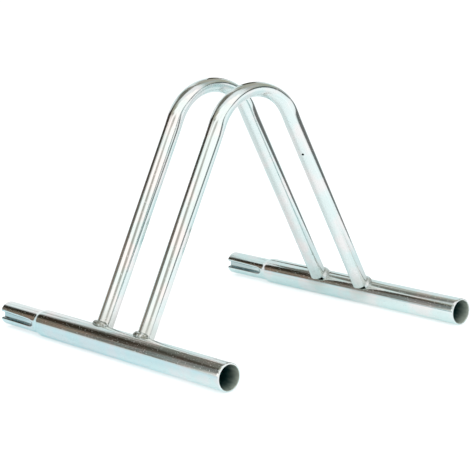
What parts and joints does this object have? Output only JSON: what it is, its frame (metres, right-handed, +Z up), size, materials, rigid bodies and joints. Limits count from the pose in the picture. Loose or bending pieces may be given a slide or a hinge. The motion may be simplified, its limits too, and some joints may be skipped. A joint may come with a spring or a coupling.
{
  "type": "bicycle rack",
  "caption": "Low zinc-plated floor rack section: two bent tube hoops hold a bicycle's tyre upright, welded across round base tubes that plug into the next section.",
  "frame": {"origin": "on the floor, at the middle of the section between the two base tubes and between their ends", "axes": "+X along the base tubes towards their open sockets, +Y from the front base tube to the rear one along the way a wheel rolls in, +Z up"},
  "size_m": [0.4, 0.398, 0.295],
  "materials": {
    "base_tube_zinc": "bright bluish zinc plating on drawn steel tube, fine draw lines along the tube, light scuffs",
    "hoop_zinc": "bright bluish zinc plating on bent steel tube",
    "weld_zinc": "rippled weld metal under a duller zinc plating"
  },
  "bodies": {
    "root": {"front_base_tube": "base_tube_zinc", "rear_base_tube": "base_tube_zinc", "right_hoop": "hoop_zinc", "left_hoop": "hoop_zinc", "weld_front_right": "weld_zinc", "weld_front_left": "weld_zinc", "weld_rear_right": "weld_zinc", "weld_rear_left": "weld_zinc"}
  },
  "joints": []
}
